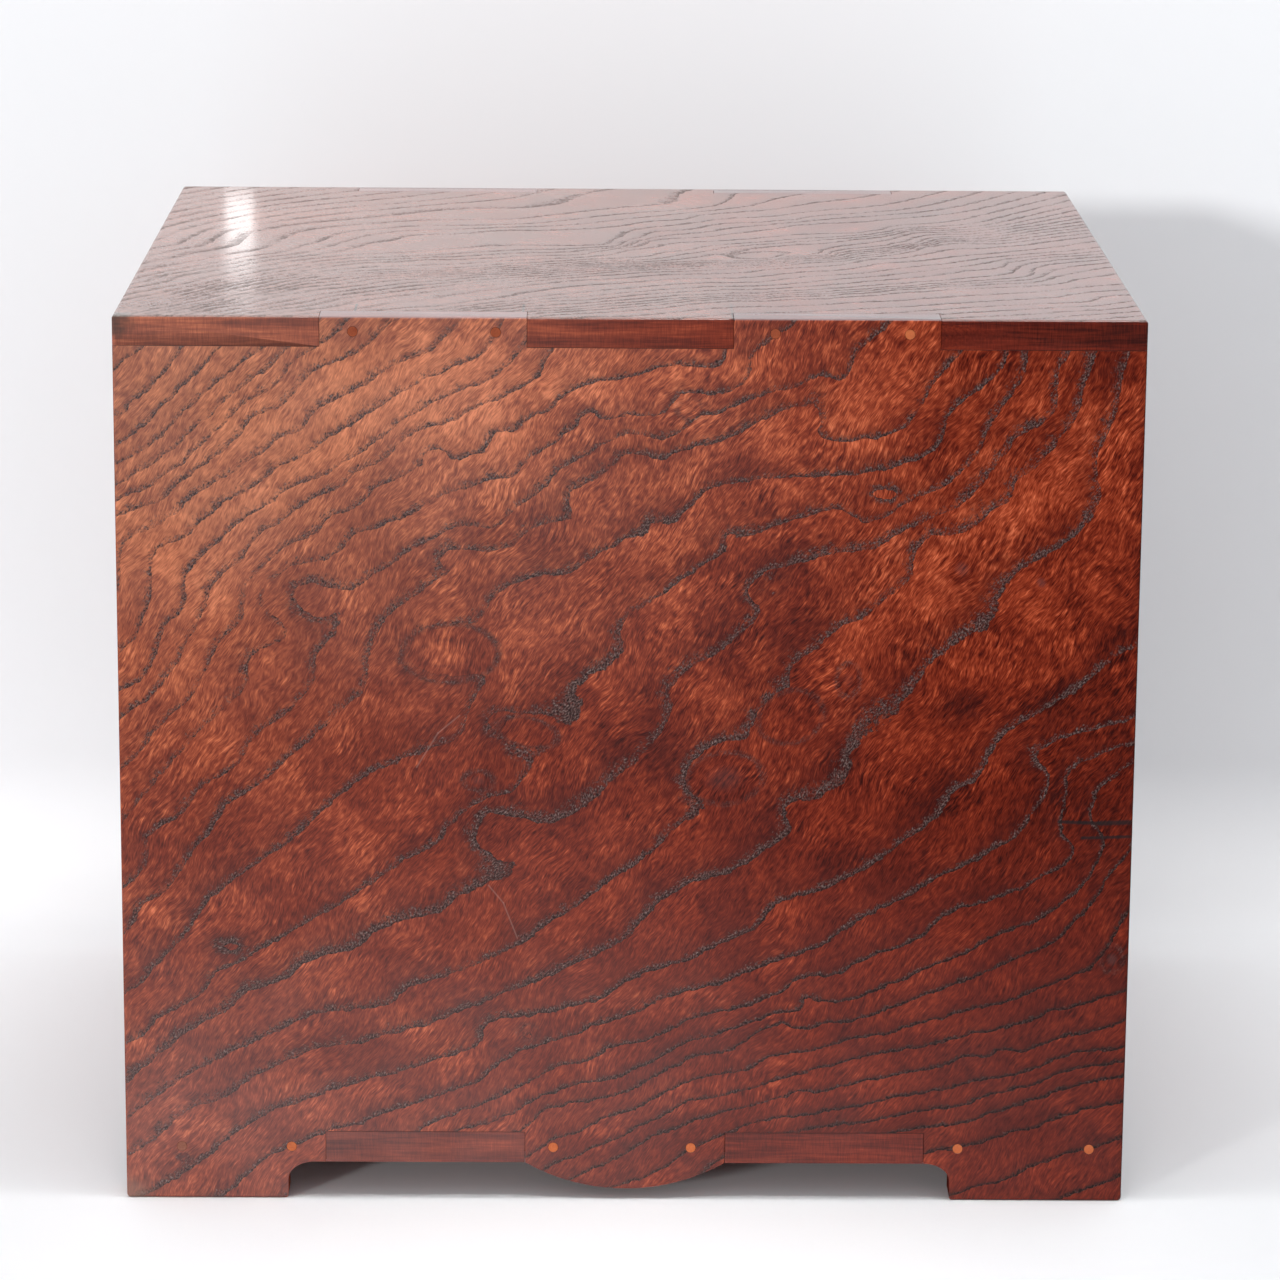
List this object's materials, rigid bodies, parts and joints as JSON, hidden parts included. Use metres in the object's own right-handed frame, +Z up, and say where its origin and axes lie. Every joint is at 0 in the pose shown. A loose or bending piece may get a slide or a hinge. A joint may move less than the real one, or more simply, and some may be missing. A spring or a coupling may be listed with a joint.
{
  "type": "small chest of drawers",
  "caption": "Small wooden chest with finger-jointed boards locked by pegs, cut-out feet, two small drawers over two wide ones, and ring pulls.",
  "frame": {"origin": "on the surface that the chest stands on, under the middle of its bounding box, pulls included", "axes": "+Z up, -Y towards the drawer fronts, +X towards the chest's right side, which the picture shows"},
  "size_m": [0.261, 0.309, 0.272],
  "materials": {
    "case_wood": "figured red-brown zelkova under clear glossy lacquer",
    "inner_wood": "stained wood, satin",
    "drawer_wood": "plain pale wood, unlacquered",
    "peg_wood": "orange-brown pegs cut flush, under the case's lacquer",
    "pull_metal": "dark aged brass"
  },
  "bodies": {
    "case": {"top_board": "case_wood", "bottom_board": "inner_wood", "right_side_board": "case_wood", "left_side_board": "case_wood", "back_board": "inner_wood", "upper_shelf": "inner_wood", "lower_shelf": "inner_wood", "drawer_divider": "inner_wood", "right_top_peg_1": "peg_wood", "right_top_peg_2": "peg_wood", "right_top_peg_3": "peg_wood", "right_top_peg_4": "peg_wood", "right_bottom_peg_1": "peg_wood", "right_bottom_peg_2": "peg_wood", "right_bottom_peg_3": "peg_wood", "right_bottom_peg_4": "peg_wood", "right_bottom_peg_5": "peg_wood", "right_bottom_peg_6": "peg_wood", "left_top_peg_1": "peg_wood", "left_top_peg_2": "peg_wood", "left_top_peg_3": "peg_wood", "left_top_peg_4": "peg_wood", "left_bottom_peg_1": "peg_wood", "left_bottom_peg_2": "peg_wood", "left_bottom_peg_3": "peg_wood", "left_bottom_peg_4": "peg_wood", "left_bottom_peg_5": "peg_wood", "left_bottom_peg_6": "peg_wood"},
    "left_drawer": {"left_drawer_front": "case_wood", "left_drawer_right_side": "drawer_wood", "left_drawer_left_side": "drawer_wood", "left_drawer_back": "drawer_wood", "left_drawer_bottom": "drawer_wood", "left_drawer_pull_plate": "pull_metal", "left_drawer_eye_pin": "pull_metal"},
    "left_ring": {"left_drawer_pull_ring": "pull_metal"},
    "right_drawer": {"right_drawer_front": "case_wood", "right_drawer_right_side": "drawer_wood", "right_drawer_left_side": "drawer_wood", "right_drawer_back": "drawer_wood", "right_drawer_bottom": "drawer_wood", "right_drawer_pull_plate": "pull_metal", "right_drawer_eye_pin": "pull_metal"},
    "right_ring": {"right_drawer_pull_ring": "pull_metal"},
    "middle_drawer": {"middle_drawer_front": "case_wood", "middle_drawer_right_side": "drawer_wood", "middle_drawer_left_side": "drawer_wood", "middle_drawer_back": "drawer_wood", "middle_drawer_bottom": "drawer_wood", "middle_drawer_pull_plate": "pull_metal", "middle_drawer_eye_pin": "pull_metal"},
    "middle_ring": {"middle_drawer_pull_ring": "pull_metal"},
    "lower_drawer": {"lower_drawer_front": "case_wood", "lower_drawer_right_side": "drawer_wood", "lower_drawer_left_side": "drawer_wood", "lower_drawer_back": "drawer_wood", "lower_drawer_bottom": "drawer_wood", "lower_drawer_pull_plate": "pull_metal", "lower_drawer_eye_pin": "pull_metal"},
    "lower_ring": {"lower_drawer_pull_ring": "pull_metal"}
  },
  "joints": [
    {"name": "left_drawer_slide", "type": "slide", "parent": "case", "child": "left_drawer", "axis": [0, -1, 0], "range_m": [0, 0.24]},
    {"name": "left_ring_swing", "type": "hinge", "parent": "left_drawer", "child": "left_ring", "pos_m": [-0.06187, -0.1514, 0.234], "axis": [-1, 0, 0], "range_deg": [-7, 170]},
    {"name": "right_drawer_slide", "type": "slide", "parent": "case", "child": "right_drawer", "axis": [0, -1, 0], "range_m": [0, 0.24]},
    {"name": "right_ring_swing", "type": "hinge", "parent": "right_drawer", "child": "right_ring", "pos_m": [0.06187, -0.1514, 0.234], "axis": [-1, 0, 0], "range_deg": [-7, 170]},
    {"name": "middle_drawer_slide", "type": "slide", "parent": "case", "child": "middle_drawer", "axis": [0, -1, 0], "range_m": [0, 0.24]},
    {"name": "middle_ring_swing", "type": "hinge", "parent": "middle_drawer", "child": "middle_ring", "pos_m": [0, -0.1514, 0.161], "axis": [-1, 0, 0], "range_deg": [-7, 170]},
    {"name": "lower_drawer_slide", "type": "slide", "parent": "case", "child": "lower_drawer", "axis": [0, -1, 0], "range_m": [0, 0.24]},
    {"name": "lower_ring_swing", "type": "hinge", "parent": "lower_drawer", "child": "lower_ring", "pos_m": [0, -0.1514, 0.0691], "axis": [-1, 0, 0], "range_deg": [-7, 170]}
  ]
}
